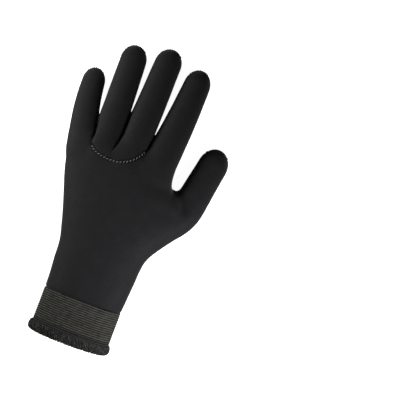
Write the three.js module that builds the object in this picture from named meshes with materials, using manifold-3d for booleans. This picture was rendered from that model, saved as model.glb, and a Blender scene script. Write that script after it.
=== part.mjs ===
// A neoprene diving glove for the left hand, lying palm down as it rests by itself.
// Millimetres, +Z up, +Y from the cuff to the fingertips, +X towards the thumb.
import * as THREE from 'three';
import { mergeVertices } from 'three/addons/utils/BufferGeometryUtils.js';
import Module from 'manifold-3d';

const wasm = await Module();
wasm.setup();

// Sizes of the hand
const wristWidth = 70;
const wristDepth = 42;
const handWidth = 97;
const handDepth = 36;
const handLength = 132;
const wall = 3;

// How far the palm's seam lies in from the sides that face the little finger
const littleSeam = 2;

// Sizes of the cuff
const bandHeight = 36.5;
const bandWall = 2.2;
const hemHeight = 8;
const hemOverlap = 6.5;
const hemWall = 1.9;
const hemLip = 5;

// Sizes of the wrist strap. It ends at an angle of the cuff, in degrees down from its thumb side.
const patchWall = 0.6;
const patchHeight = 32;
const patchReach = 19;
const tabWall = 1.2;
const tabHeight = 29;
const tabReach = 17;
const tabFoot = 9;
const stripEndAngle = -24;

// Clear space between pieces that touch, and how deep the glove is pressed flat where it rests
const gap = 0.3;
const flatDepth = 1.2;

// The digits. across, width, tipWidth and seam are shares of the hand's width, along and length
// of its length, and rise, depth and tipDepth of its depth. across and along give where each
// starts on the hand, and rise how high. turn and lean are the headings of its root and tip in
// degrees from the hand's axis, and the heading changes between the shares of its length in
// bend. seam is how far in from its thumb side its palm seam lies.
const digitShares = {
  pinky: {
    across: -0.459, along: 0.885, rise: 0.66, turn: -19, lean: -4, bend: [0, 1],
    length: 0.589, width: 0.28, tipWidth: 0.192, depth: 0.556, tipDepth: 0.458, seam: 0.036,
  },
  ring: {
    across: -0.316, along: 0.864, rise: 0.69, turn: 1, lean: -3, bend: [0, 0.7],
    length: 0.828, width: 0.277, tipWidth: 0.234, depth: 0.611, tipDepth: 0.5, seam: 0.036,
  },
  middle: {
    across: -0.083, along: 0.864, rise: 0.7, turn: 4, lean: 1, bend: [0, 1],
    length: 0.885, width: 0.296, tipWidth: 0.238, depth: 0.625, tipDepth: 0.514, seam: 0.036,
  },
  index: {
    across: 0.184, along: 0.864, rise: 0.68, turn: 8, lean: 2, bend: [0, 1],
    length: 0.823, width: 0.333, tipWidth: 0.229, depth: 0.639, tipDepth: 0.514, seam: 0.062,
  },
  thumb: {
    across: 0.212, along: 0.455, rise: 0.55, turn: 44, lean: 10, bend: [0.3, 0.56],
    length: 0.886, width: 0.325, tipWidth: 0.264, depth: 0.861, tipDepth: 0.556, seam: 0.052,
  },
};

// Sections of the hand from the cuff to the knuckles. along is a share of the hand's length.
// little and thumb say how far each side has spread from the wrist to the hand's full width,
// foot is the share of the height at which the cuff is held, lift how high the underside
// arches as a share of the hand's depth, and sink how far the back has come down from the
// wrist's height to the hand's.
const handSections = [
  { along: 0, little: 0, thumb: 0, foot: 1, lift: 0, sink: 0 },
  { along: 0.07, little: 0, thumb: 0.03, foot: 1, lift: 0, sink: 0.02 },
  { along: 0.18, little: 0.04, thumb: 0.09, foot: 0.2, lift: 0, sink: 0.07 },
  { along: 0.33, little: 0.1, thumb: 0.17, foot: 0, lift: 0, sink: 0.13 },
  { along: 0.41, little: 0.2, thumb: 0.3, foot: 0, lift: 0, sink: 0.18 },
  { along: 0.485, little: 0.3, thumb: 0.58, foot: 0, lift: 0, sink: 0.24 },
  { along: 0.56, little: 0.42, thumb: 0.84, foot: 0, lift: 0.01, sink: 0.3 },
  { along: 0.635, little: 0.54, thumb: 0.96, foot: 0, lift: 0.04, sink: 0.37 },
  { along: 0.71, little: 0.66, thumb: 0.92, foot: 0, lift: 0.08, sink: 0.46 },
  { along: 0.79, little: 0.77, thumb: 0.86, foot: 0, lift: 0.12, sink: 0.57 },
  { along: 0.865, little: 0.85, thumb: 0.3, foot: 0, lift: 0.17, sink: 0.74 },
  { along: 0.94, little: 0.9, thumb: 0, foot: 0, lift: 0.22, sink: 0.96 },
  { along: 1, little: 0.92, thumb: -0.15, foot: 0, lift: 0.28, sink: 1.2 },
  { along: 1.06, little: 0.85, thumb: -0.35, foot: 0, lift: 0.38, sink: 1.8 },
];

// How far the hand's full width reaches to each side of the cuff's middle, as shares of it
const littleSpread = 0.638;
const thumbSpread = 0.532;

// How high the palm piece reaches: up the hand as a share of its depth, and over a digit's axis
// as a share of the digit's depth from rootShare of its length on.
const palmTop = 0.5;
const tipRise = 0.18;
const rootShare = 0.5;

// The palm piece's outline on the hand, in shares of its width and length. The digits' own seams
// take it on to their tips.
const palmOutline = [
  { across: -0.338, along: 0.225 }, { across: -0.36, along: 0.37 },
  { across: -0.413, along: 0.52 }, { across: -0.475, along: 0.64 },
  { across: -0.546, along: 0.79 }, { across: -0.578, along: 0.9 },
  { across: -0.558, along: 1.08 }, { across: 0.282, along: 1.08 },
  { across: 0.302, along: 0.98 }, { across: 0.352, along: 0.905 },
  { across: 0.432, along: 0.86 }, { across: 0.572, along: 0.83 },
  { across: 0.602, along: 0.74 }, { across: 0.542, along: 0.65 },
  { across: 0.452, along: 0.54 }, { across: 0.372, along: 0.44 },
  { across: 0.292, along: 0.36 }, { across: 0.212, along: 0.3 },
  { across: 0.112, along: 0.25 }, { across: -0.018, along: 0.227 },
  { across: -0.178, along: 0.218 },
];

// The seam on the back that runs from web to web below the ring and middle fingers, and on
// between the fingers past their tips.
const backSeam = [
  { across: -0.533, along: 1.75 }, { across: -0.473, along: 1.3 },
  { across: -0.433, along: 1.12 }, { across: -0.418, along: 1 },
  { across: -0.4, along: 0.965 }, { across: -0.352, along: 0.938 },
  { across: -0.288, along: 0.925 }, { across: -0.208, along: 0.919 },
  { across: -0.128, along: 0.924 }, { across: -0.064, along: 0.943 },
  { across: 0, along: 0.977 }, { across: 0.044, along: 1.02 },
  { across: 0.072, along: 1.08 }, { across: 0.087, along: 1.15 },
  { across: 0.112, along: 1.4 }, { across: 0.127, along: 1.85 },
];

// How finely the forms are drawn
const handSides = 32;
const digitSides = 14;
const digitSteps = 7;
const domeSteps = 5;
const axisSteps = 24;
const stripSteps = 18;
const handSquareness = 2.4;
const digitSquareness = 2.15;

// A fingertip's dome is domeShare of its width long and ends at domeEnd of its angle. A digit
// starts at rootScale of its size inside the hand, and droop says how late it comes down.
const domeShare = 0.6;
const domeEnd = 0.96;
const rootScale = 0.8;
const droop = 1.5;

// What follows from these sizes
const hemProud = gap + hemWall;
const tabProud = gap + patchWall + gap + tabWall;
const restHeight = Math.max(hemProud, tabProud);
const bodyFoot = bandHeight + gap;
const bandTopHeight = restHeight + wristDepth;
const hemFoot = hemOverlap - hemHeight;
const bandFoot = hemFoot + hemWall + gap;
const stripEnd = THREE.MathUtils.degToRad(stripEndAngle);
const spaceFoot = -wall;
const mouthRun = 2 * wall;

const sideways = new THREE.Vector3(1, 0, 0);
const forwards = new THREE.Vector3(0, 1, 0);
const upwards = new THREE.Vector3(0, 0, 1);
const lerp = THREE.MathUtils.lerp;

// Makes a solid from a triangle mesh, turned so that its faces point out.
function toSolid(positions, triangles) {
  const corner = (index) => new THREE.Vector3().fromArray(positions, index * 3);
  let volume = 0;
  for (let first = 0; first < triangles.length; first += 3) {
    const [a, b, c] = [0, 1, 2].map((step) => corner(triangles[first + step]));
    volume += a.dot(b.cross(c));
  }
  const turned = volume < 0 ? [...triangles].reverse() : triangles;
  return new wasm.Manifold(new wasm.Mesh({
    numProp: 3,
    vertProperties: new Float32Array(positions),
    triVerts: new Uint32Array(turned),
  }));
}

// Joins rings of points by faces. The first and last are closed by a fan, unless they meet.
function loft(rings, endless = false) {
  const count = rings[0].length;
  const positions = rings.flat().flatMap((point) => point.toArray());
  const triangles = [];
  const links = endless ? rings.length : rings.length - 1;
  for (let ring = 0; ring < links; ring += 1) {
    const here = ring * count;
    const there = ((ring + 1) % rings.length) * count;
    for (let side = 0; side < count; side += 1) {
      const next = (side + 1) % count;
      triangles.push(here + side, there + side, here + next);
      triangles.push(there + side, there + next, here + next);
    }
  }
  const addFan = (ring, isStart) => {
    const hub = positions.length / 3;
    const middle = new THREE.Vector3();
    rings[ring].forEach((point) => middle.addScaledVector(point, 1 / count));
    positions.push(...middle.toArray());
    for (let side = 0; side < count; side += 1) {
      const pair = [ring * count + side, ring * count + ((side + 1) % count)];
      triangles.push(hub, ...(isStart ? pair : pair.reverse()));
    }
  };
  if (!endless) {
    addFan(0, true);
    addFan(rings.length - 1, false);
  }
  return toSolid(positions, triangles);
}

// A closed outline drawn upwards into a prism.
function prism(outline, bottom, top) {
  const shape = new THREE.Shape(outline);
  const geometry = new THREE.ExtrudeGeometry(shape, { depth: top - bottom, bevelEnabled: false });
  geometry.translate(0, 0, bottom);
  geometry.deleteAttribute('normal');
  geometry.deleteAttribute('uv');
  const merged = mergeVertices(geometry);
  return toSolid(Array.from(merged.attributes.position.array), Array.from(merged.index.array));
}

// Moves a closed outline outwards by a distance, corner by corner.
function grown(outline, distance) {
  const area = THREE.ShapeUtils.area(outline);
  const outward = Math.sign(area) * distance;
  return outline.map((point, index) => {
    const before = outline[(index + outline.length - 1) % outline.length];
    const after = outline[(index + 1) % outline.length];
    const along = after.clone().sub(before).normalize();
    return new THREE.Vector2(point.x + along.y * outward, point.y - along.x * outward);
  });
}

// Points of an outline given by shares of the hand's width and length.
function onHand(rows) {
  return rows.map((row) => (
    new THREE.Vector2(row.across * handWidth, bodyFoot + row.along * handLength)
  ));
}

// Points at the given angles on an oval of the given half sizes, pressed flat at the floor.
function ovalPoints(angles, { centre, side, up, halfWidth, halfDepth, floor, squareness }) {
  const bent = (value) => Math.sign(value) * Math.abs(value) ** (2 / squareness);
  return angles.map((angle) => {
    const point = centre.clone()
      .addScaledVector(side, halfWidth * bent(Math.cos(angle)))
      .addScaledVector(up, halfDepth * bent(Math.sin(angle)));
    point.z = Math.max(point.z, floor);
    return point;
  });
}

// A whole turn, in even steps.
function turnOf(sides) {
  return Array.from({ length: sides }, (_, step) => (step / sides) * 2 * Math.PI);
}

// A ring round the hand, inset from its outer face.
function handRing(row, inset) {
  const halfWrist = wristWidth / 2;
  const left = lerp(-halfWrist, -littleSpread * handWidth, row.little) + inset;
  const right = lerp(halfWrist, thumbSpread * handWidth, row.thumb) - inset;
  const floor = row.foot * restHeight + row.lift * handDepth + inset;
  const top = lerp(bandTopHeight, handDepth, row.sink) - inset;
  const bottom = floor - flatDepth;
  return ovalPoints(turnOf(handSides), {
    centre: new THREE.Vector3(
      (left + right) / 2,
      bodyFoot + row.along * handLength,
      (bottom + top) / 2,
    ),
    side: sideways,
    up: upwards,
    halfWidth: (right - left) / 2,
    halfDepth: (top - bottom) / 2,
    floor,
    squareness: handSquareness,
  });
}

// The hand's form. A hollow runs on past its open end.
function handForm(inset) {
  const rings = handSections.map((row) => handRing(row, inset));
  if (inset > 0) {
    const mouth = rings[0].map((point) => point.clone().addScaledVector(forwards, -mouthRun));
    rings.unshift(mouth);
  }
  return loft(rings);
}

// A point on a digit's axis, at a share of its length.
function axisPoint(digit, share) {
  const stride = (share * digit.length) / axisSteps;
  const tipHeight = digit.tipDepth / 2 - flatDepth;
  const point = new THREE.Vector3(
    digit.across * handWidth,
    bodyFoot + digit.along * handLength,
    lerp(digit.rise * handDepth, tipHeight, Math.max(share, 0) ** droop),
  );
  for (let step = 0; step < axisSteps; step += 1) {
    const place = ((step + 0.5) / axisSteps) * share;
    const change = THREE.MathUtils.smoothstep(place, ...digit.bend);
    const heading = THREE.MathUtils.degToRad(lerp(digit.turn, digit.lean, change));
    point.x += stride * Math.sin(heading);
    point.y += stride * Math.cos(heading);
  }
  return point;
}

// The place, side and up directions of a digit at a share of its length.
function station(digit, share) {
  const reach = 0.01;
  const tangent = axisPoint(digit, share + reach).sub(axisPoint(digit, share - reach)).normalize();
  const side = tangent.clone().cross(upwards).normalize();
  return { centre: axisPoint(digit, share), side, up: side.clone().cross(tangent) };
}

// A digit's form: even steps along its body, then a dome at its tip.
function digitForm(digit, inset) {
  const dome = (domeShare * digit.tipWidth) / digit.length;
  const end = 1 - inset / digit.length;
  const rows = [];
  for (let step = 0; step <= digitSteps; step += 1) {
    rows.push({ share: (step / digitSteps) * (1 - dome), scale: step > 0 ? 1 : rootScale });
  }
  for (let step = 1; step <= domeSteps; step += 1) {
    const angle = (step / domeSteps) * domeEnd * (Math.PI / 2);
    rows.push({ share: 1 - dome + (end - 1 + dome) * Math.sin(angle), scale: Math.cos(angle) });
  }
  return loft(rows.map(({ share, scale }) => ovalPoints(turnOf(digitSides), {
    ...station(digit, share),
    halfWidth: scale * (lerp(digit.width, digit.tipWidth, share) / 2 - inset),
    halfDepth: scale * (lerp(digit.depth, digit.tipDepth, share) / 2 - inset),
    floor: inset,
    squareness: digitSquareness,
  })));
}

// The space that a digit's palm side fills, up to its seams, grown by a distance.
function digitPalmSpace(digit, growth) {
  const past = 1 + wall / digit.length;
  const steps = digitSteps + 2;
  const rootTop = handDepth * (palmTop - digit.rise);
  return loft(Array.from({ length: steps + 1 }, (_, step) => {
    const share = (step / steps) * past;
    const { centre, side, up } = station(digit, share);
    const half = lerp(digit.width, digit.tipWidth, share) / 2;
    const depth = lerp(digit.depth, digit.tipDepth, share);
    const left = -half + littleSeam - growth;
    const right = half - digit.seam + growth;
    const top = lerp(rootTop, tipRise * depth, Math.min(share / rootShare, 1)) + growth;
    const corners = [[left, -depth], [right, -depth], [right, top], [left, top]];
    return corners.map(([across, height]) => (
      centre.clone().addScaledVector(side, across).addScaledVector(up, height)
    ));
  }));
}

function union(solids) {
  return solids.reduce((whole, solid) => whole.add(solid));
}

// A digit's sizes, from its shares of the hand's.
function sized(row) {
  return {
    ...row,
    length: row.length * handLength,
    width: row.width * handWidth,
    tipWidth: row.tipWidth * handWidth,
    depth: row.depth * handDepth,
    tipDepth: row.tipDepth * handDepth,
    seam: row.seam * handWidth,
  };
}

const allDigits = Object.values(digitShares).map(sized);

// The neoprene, hollow and open at the wrist, before it is cut along its seams.
function makeShell() {
  const outer = union([handForm(0), ...allDigits.map((digit) => digitForm(digit, 0))]);
  const inner = union([handForm(wall), ...allDigits.map((digit) => digitForm(digit, wall))]);
  return outer.subtract(inner);
}

// The space that the palm piece fills.
function palmSpace(growth) {
  const top = handDepth * palmTop + growth;
  const hand = prism(grown(onHand(palmOutline), growth), spaceFoot, top);
  return union([hand, ...allDigits.map((digit) => digitPalmSpace(digit, growth))]);
}

// The space that the back of the ring and middle fingers fills.
function fingerSpace(growth) {
  return prism(grown(onHand(backSeam), growth), spaceFoot, bandTopHeight);
}

// The three neoprene pieces, clear of each other along their seams.
function cutPanels() {
  const shell = makeShell();
  const palm = shell.intersect(palmSpace(0));
  const back = shell.subtract(palmSpace(gap));
  return {
    palm,
    fingers: back.intersect(fingerSpace(0)),
    hand: back.subtract(fingerSpace(gap)),
  };
}

// A point on the cuff: angle goes round it from the thumb side over the back, height is
// measured along it from the cuff's foot, and offset out from the neoprene's face.
function cuffPoint(angle, height, offset) {
  const [point] = ovalPoints([angle], {
    centre: new THREE.Vector3(0, height, restHeight + (wristDepth - flatDepth) / 2),
    side: sideways,
    up: upwards,
    halfWidth: wristWidth / 2 + offset,
    halfDepth: (wristDepth + flatDepth) / 2 + offset,
    floor: restHeight - offset,
    squareness: handSquareness,
  });
  return point;
}

// Carries a profile of height and offset pairs round the cuff.
function cuffSweep(profile, angles, endless) {
  return loft(angles.map((angle) => profile.map(([height, offset]) => (
    cuffPoint(angle, height, offset)
  ))), endless);
}

// The elastic band round the wrist
function makeBand() {
  return cuffSweep([
    [bandFoot, -bandWall], [bandHeight, -bandWall], [bandHeight, 0], [bandFoot, 0],
  ], turnOf(handSides), true);
}

// The binding folded round the band's lower edge
function makeHem() {
  const top = hemOverlap;
  const foot = hemFoot;
  const inside = -bandWall - gap;
  const lip = inside - hemWall;
  const round = hemWall / 2;
  return cuffSweep([
    [top, gap], [top, hemProud - round], [top - round, hemProud],
    [foot + round, hemProud], [foot, hemProud - round],
    [foot, lip + round], [foot + round, lip], [foot + hemLip, lip], [foot + hemLip, inside],
    [bandFoot - gap, inside], [bandFoot - gap, gap],
  ], turnOf(handSides), true);
}

// The angle at which the cuff's underside is so far from its middle.
function underAngle(across) {
  const share = across / (wristWidth / 2);
  return -Math.acos(Math.sign(share) * Math.abs(share) ** (handSquareness / 2));
}

// A strip laid on the cuff's underside, from the little finger's side to the thumb's.
function makeStrip({ foot, height, inner, thickness, reach, end }) {
  const start = underAngle(-reach);
  const angles = Array.from({ length: stripSteps + 1 }, (_, step) => (
    lerp(start, end, step / stripSteps)
  ));
  const outer = inner + thickness;
  return cuffSweep([
    [foot, inner], [foot, outer], [foot + height, outer], [foot + height, inner],
  ], angles, false);
}

function makePatch() {
  return makeStrip({
    foot: tabFoot, height: patchHeight, inner: gap, thickness: patchWall,
    reach: patchReach, end: stripEnd,
  });
}

function makeTab() {
  return makeStrip({
    foot: tabFoot, height: tabHeight, inner: gap + patchWall + gap, thickness: tabWall,
    reach: tabReach, end: stripEnd,
  });
}

// One named piece of the glove, from its solid and the look of its material.
function piece(name, solid, look) {
  const { vertProperties, triVerts } = solid.getMesh();
  const geometry = new THREE.BufferGeometry();
  geometry.setAttribute('position', new THREE.BufferAttribute(vertProperties, 3));
  geometry.setIndex(new THREE.BufferAttribute(triVerts, 1));
  geometry.computeVertexNormals();
  const mesh = new THREE.Mesh(geometry, new THREE.MeshStandardMaterial({ metalness: 0, ...look }));
  mesh.name = name;
  return mesh;
}

const panels = cutPanels();
const neoprene = { color: 0x252527, roughness: 0.85 };
const glove = new THREE.Group();
glove.add(
  piece('back_panel', panels.hand, neoprene),
  piece('finger_back_panel', panels.fingers, neoprene),
  piece('palm_panel', panels.palm, { color: 0x1b1a1a, roughness: 0.75 }),
  piece('elastic_band', makeBand(), { color: 0x33322c, roughness: 0.9 }),
  piece('hem_binding', makeHem(), { color: 0x1f1d1b, roughness: 0.95 }),
  piece('loop_patch', makePatch(), { color: 0x141414, roughness: 1 }),
  piece('closure_tab', makeTab(), { color: 0x38383a, roughness: 0.7 }),
);

// The glove's reference point is the middle of its box, on the surface that it rests on.
const box = new THREE.Box3().setFromObject(glove);
const middle = box.getCenter(new THREE.Vector3());
glove.position.set(-middle.x, -middle.y, -box.min.z);

export default glove;
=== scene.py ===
"""The looks of a neoprene diving glove that lies palm down on a pale floor.

The forms are worked out in millimetres, with the cuff's middle at x = 0 and its foot near y = 0,
and are moved to the frame's metres where their meshes are made.
"""

import math

import bpy
import numpy as np
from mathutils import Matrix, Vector
from mathutils.bvhtree import BVHTree
from mathutils.kdtree import KDTree


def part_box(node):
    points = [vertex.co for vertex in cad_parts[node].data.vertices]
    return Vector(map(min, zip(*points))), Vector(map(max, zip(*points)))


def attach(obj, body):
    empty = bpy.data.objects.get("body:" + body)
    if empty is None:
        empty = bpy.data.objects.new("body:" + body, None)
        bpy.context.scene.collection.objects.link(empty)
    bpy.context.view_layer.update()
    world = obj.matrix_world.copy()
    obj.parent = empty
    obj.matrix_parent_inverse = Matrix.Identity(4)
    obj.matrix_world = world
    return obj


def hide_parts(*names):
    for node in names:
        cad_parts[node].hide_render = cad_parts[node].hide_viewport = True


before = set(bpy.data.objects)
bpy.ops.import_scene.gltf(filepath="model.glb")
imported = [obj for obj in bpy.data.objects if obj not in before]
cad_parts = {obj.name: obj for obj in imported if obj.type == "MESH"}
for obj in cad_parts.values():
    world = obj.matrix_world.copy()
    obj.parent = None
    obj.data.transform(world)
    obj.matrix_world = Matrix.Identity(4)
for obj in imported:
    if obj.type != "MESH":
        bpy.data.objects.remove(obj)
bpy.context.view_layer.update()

# Sizes of the hand, as in the part
HAND_WIDTH = 97
HAND_DEPTH = 36
HAND_LENGTH = 132
WRIST_WIDTH = 70
WRIST_DEPTH = 42
WALL = 3
LITTLE_SEAM = 2
REST_HEIGHT = 2.4
FLAT_DEPTH = 1.2
LITTLE_SPREAD = 0.638
THUMB_SPREAD = 0.532
PALM_TOP = 0.5
TIP_RISE = 0.18
HAND_SQUARENESS = 2.4
DIGIT_SQUARENESS = 2.15
DOME_SHARE = 0.6
DROOP = 1.5

# Sizes of the cuff and the strap
BAND_TOP = 36.5
BAND_FOOT = 0.7
BAND_WALL = 2.2
BODY_FOOT = 36.8
HEM_TOP = 6.5
HEM_FOOT = -1.5
HEM_WALL = 1.9
HEM_LIP = 5
GAP = 0.3
PATCH_WALL = 0.6
PATCH_HEIGHT = 32
PATCH_REACH = 19
TAB_WALL = 1.2
TAB_HEIGHT = 29
TAB_REACH = 17
TAB_FOOT = 9
STRIP_END = math.radians(-24)

# The digits, in the same shares of the hand's width, length and depth as in the part
DIGIT_COLUMNS = (
    "across along rise turn lean bend_start bend_end length width tip_width depth tip_depth seam"
).split()
DIGITS = {
    "pinky": (-0.459, 0.885, 0.66, -19, -4, 0, 1, 0.589, 0.28, 0.192, 0.556, 0.458, 0.036),
    "ring": (-0.316, 0.864, 0.69, 1, -3, 0, 0.7, 0.828, 0.277, 0.234, 0.611, 0.5, 0.036),
    "middle": (-0.083, 0.864, 0.7, 4, 1, 0, 1, 0.885, 0.296, 0.238, 0.625, 0.514, 0.036),
    "index": (0.184, 0.864, 0.68, 8, 2, 0, 1, 0.823, 0.333, 0.229, 0.639, 0.514, 0.062),
    "thumb": (0.212, 0.455, 0.55, 44, 10, 0.3, 0.56, 0.886, 0.325, 0.264, 0.861, 0.556, 0.052),
}

# along, little, thumb, foot, lift and sink of the hand's sections
HAND_SECTIONS = (
    (0, 0, 0, 1, 0, 0),
    (0.07, 0, 0.03, 1, 0, 0.02),
    (0.18, 0.04, 0.09, 0.2, 0, 0.07),
    (0.33, 0.1, 0.17, 0, 0, 0.13),
    (0.41, 0.2, 0.3, 0, 0, 0.18),
    (0.485, 0.3, 0.58, 0, 0, 0.24),
    (0.56, 0.42, 0.84, 0, 0.01, 0.3),
    (0.635, 0.54, 0.96, 0, 0.04, 0.37),
    (0.71, 0.66, 0.92, 0, 0.08, 0.46),
    (0.79, 0.77, 0.86, 0, 0.12, 0.57),
    (0.865, 0.85, 0.3, 0, 0.17, 0.74),
    (0.94, 0.9, 0, 0, 0.22, 0.96),
    (1, 0.92, -0.15, 0, 0.28, 1.2),
    (1.06, 0.85, -0.35, 0, 0.38, 1.8),
)

# The palm piece's outline on the hand and the seam on the back, as shares of width and length
PALM_OUTLINE = (
    (-0.338, 0.225), (-0.36, 0.37), (-0.413, 0.52), (-0.475, 0.64), (-0.546, 0.79),
    (-0.578, 0.9), (-0.558, 1.08), (0.282, 1.08), (0.302, 0.98), (0.352, 0.905),
    (0.432, 0.86), (0.572, 0.83), (0.602, 0.74), (0.542, 0.65), (0.452, 0.54),
    (0.372, 0.44), (0.292, 0.36), (0.212, 0.3), (0.112, 0.25), (-0.018, 0.227),
    (-0.178, 0.218),
)
BACK_SEAM = (
    (-0.533, 1.75), (-0.473, 1.3), (-0.433, 1.12), (-0.418, 1), (-0.4, 0.965),
    (-0.352, 0.938), (-0.288, 0.925), (-0.208, 0.919), (-0.128, 0.924), (-0.064, 0.943),
    (0, 0.977), (0.044, 1.02), (0.072, 1.08), (0.087, 1.15), (0.112, 1.4), (0.127, 1.85),
)

# Where two forms meet, the fillet between them
WEB_FILLET = 1
ROOT_FILLET = 5
THUMB_FILLET = 9
SEAM_FILLET = 3
FLOOR_FILLET = 1.2

# A digit's rounded start, and the share of it past the digit's origin
DIGIT_ROOT = 14
DIGIT_OVERLAP = 0.6

# A digit's axis, as shares of its length
AXIS_START = -0.2
AXIS_END = 1.25
AXIS_POINTS = 291

# The fillet of a digit's palm seam, and the space round a digit in which its shape counts
DIGIT_SEAM_FILLET = 2
DIGIT_MARGIN = 5

# Grid of the neoprene's surface: its step, its box and how many points are worked out at once
STEP = 1.1
SHELL_LOW = (-73, BODY_FOOT - 4 * STEP, -2.5)
SHELL_HIGH = (85, 273, 48)
GRID_PART = 200000

# The mesh is finer this near a seam and where a crease is this deep
FINE_BAND = 1.8
FINE_CREASE = 0.5

# A point this near a seam moves onto it, as a share of the step
SNAP_SHARE = 0.16

# How often the lining's points are evened out
LINING_ROUNDS = 4

# Soft hollows, or swellings where the depth is below 0: start, end, radius and depth
DENTS = (
    ((39.5, 153, 12), (43.5, 150.5, 8), 4.5, -2.2),
    ((45.5, 147, 25), (49, 138, 29), 5.5, -1.5),
    ((53, 148, 23), (53.5, 141, 27), 6, 2.2),
    ((-33, 172, 6), (-24, 176, 7), 3, 1),
    ((-10, 176, 6), (6, 175, 7), 3, 1),
    ((18, 170, 6), (34, 163, 7), 3, 1),
    ((-60, 165, 8), (-47, 169, 7), 3, 0.9),
    ((33, 100, 0), (20, 128, 1), 4, 1.1),
    ((20, 128, 1), (26, 152, 3), 4, 0.8),
    ((-46, 130, 1), (-8, 141, 2), 4, 0.7),
)

# Creases where the fingers' roots press together, down from each web. A station holds its
# place seen from above, the crease's half width there and the height of its bottom.
CREASES = (
    (
        (-41.6, 188, 0.7, 24.5), (-41.2, 181, 0.9, 24.5), (-40.4, 174.3, 1, 27.5),
        (-40.2, 167.5, 0.8, 34),
    ),
    (
        (-17.6, 205, 0.7, 20.5), (-17.5, 194.5, 0.9, 22), (-17.5, 183.6, 1, 24.5),
        (-19.4, 173, 1, 29), (-22, 163, 1, 36.5),
    ),
    (
        (9, 190, 0.7, 22.5), (8.3, 186, 0.8, 22.5), (7.5, 182, 0.9, 23.5), (6.6, 178, 0.8, 29),
    ),
)
CREASE_DEPTH = 4
CREASE_RISE = 3
CREASE_HIDES = 1.3

# The seams' lines: their points' pitch, how often they are smoothed, and how few points are
# too few for a line
SEAM_STEP = 0.6
SEAM_ROUNDS = 6
SHORT_SEAM = 12

# Grooves along the seams and at the mouth, and the seams' threads and cords; the back seam's dark
# cord is a painted shadow line
GROOVE_DEPTH = 0.75
GROOVE_WIDTH = 1.25
MOUTH_DEPTH = 0.9
THREAD_SIDES = 6
STITCH_PITCH = 1.9
STITCH_LENGTH = 2.1
STITCH_RADIUS = 0.36
STITCH_SLANT = math.radians(48)
STITCH_RISE = 0.12
STITCH_BOW = 0.5
BACK_STITCH_PITCH = 2.9
BACK_STITCH_LENGTH = 2.3
BACK_STITCH_RADIUS = 0.36
BACK_STITCH_SLANT = math.radians(35)
CORD_STEP = 1.1
CORD_RADIUS = 0.4
CORD_RISE = -0.55
# The back seam's dark cord is a painted shadow line on the fingers' side of the seam
BACK_SHADOW_CORD_RADIUS = 0.6
BACK_SHADOW_CORD_SIDE = 0.8
BACK_SHADOW_CORD_RISE = -0.35

# Grip dots in hexagonal patches: sizes, the space between patches, how far the grip keeps
# from the seams, where it lies and how steep the palm may be under a dot
DOT_PITCH = 1.65
DOT_RADIUS = 0.52
DOT_HEIGHT = 0.34
DOT_SHOULDER = 0.72
DOT_SIDES = 6
PATCH_PITCH = 13.75
PATCH_SPACE = 1.7
PATCH_ROWS = 14
PATCH_COLUMNS = 22
GRIP_TURN = math.radians(18)
GRIP_MIDDLE = np.array([-4.0, 128.0])
GRIP_MARGIN = 1.6
GRIP_LOW = (-70, 60)
GRIP_HIGH = (82, 270)
GRIP_SLOPE = 0.42

# Rays that find the palm from below
RAY_FOOT = -10
RAY_REACH = 45

# Ribs of the elastic and loops of the overlocked hem
CUFF_POINTS = 2000
RIB_PITCH = 1.89
RIB_DEPTH = 0.8
RIB_STEPS = 6
RIB_ROUNDNESS = 0.6
# The lowest ribs, next to the hem, take a darker, more purple colour: painted shade
SHADED_FOOT_RIBS = 5
BAND_COLUMNS = 176
BAND_ROWS_INSIDE = 12
HEM_COLUMNS = 150
HEM_CORNER = 1.1
HEM_BOW = 1.2
LOOP_PITCH = 2.3
LOOP_ROW = 1.45
LOOP_LENGTH = 2.9
LOOP_RADIUS = 0.5
LOOP_SLANT = 62
LIGHT_LOOPS = 0.42

# Sewing and hooks of the tab, as distances from its end and its edges
SEWN_ROWS = (1.5, 5)
SEWN_EDGE = 1.3
SEWN_WIDTH = 0.35
SEWN_PITCH = 2.3
SEWN_LENGTH = 1.8
HOOKS_START = 6
HOOKS_END = 21
HOOK_PITCH = 1.7
RIDGE_PITCH = 2.1

# 8-bit grey levels of the pieces
NEOPRENE = 19
LINING = 44
PALM = 20
DOTS = 38
ELASTIC = 53
# The lowest ribs' level is painted shade near the hem
ELASTIC_SHADE = 38
# The ribs' valleys are painted near black as painted shade
VALLEY_SHADE = 5
BINDING = 33
THREAD = 84
# The cords' level: the palm seam's cord, and the back seam's cord as a painted shadow line
CORD_AND_SHADOW = 8
STRAP = 44
PILE = 27

# The studio: floor, world, lights as name, place, size and power, and the camera
FLOOR_COLOUR = (0.8, 0.8, 0.8)
FLOOR_GLOW = 0.95
FLOOR_REACH = 40
WORLD_LIGHT = 0.09
LIGHTS = (
    ("key", (-0.4, 0.03, 0.15), 0.2, 2.3),
    ("fingers", (-0.24, 0.18, 0.11), 0.12, 0.4),
    ("side", (0.35, -0.17, 0.15), 0.2, 1.1),
    ("wrist", (0.14, -0.1, 0.17), 0.1, 0.55),
)
LIGHT_TARGET = (0, 0.03, 0.02)
CAMERA_PLACE = (0.0601, 0.0199, 1.315)
CAMERA_VIEW = math.radians(15.25)
CAMERA_TURN = math.radians(20.6)

# A distance beyond any on the glove
FAR = 60.0

band_low, band_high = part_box("elastic_band")
SHIFT = np.array([
    (band_low[0] + band_high[0]) / 2,
    band_high[1] - BAND_TOP / 1000,
    0,
])


def smooth_min(a, b, fillet):
    mix = np.clip(0.5 + 0.5 * (b - a) / fillet, 0, 1)
    return b * (1 - mix) + a * mix - fillet * mix * (1 - mix)


def smooth_max(a, b, fillet):
    return -smooth_min(-a, -b, fillet)


def smooth_step(value):
    value = np.clip(value, 0, 1)
    return value * value * (3 - 2 * value)


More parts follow.
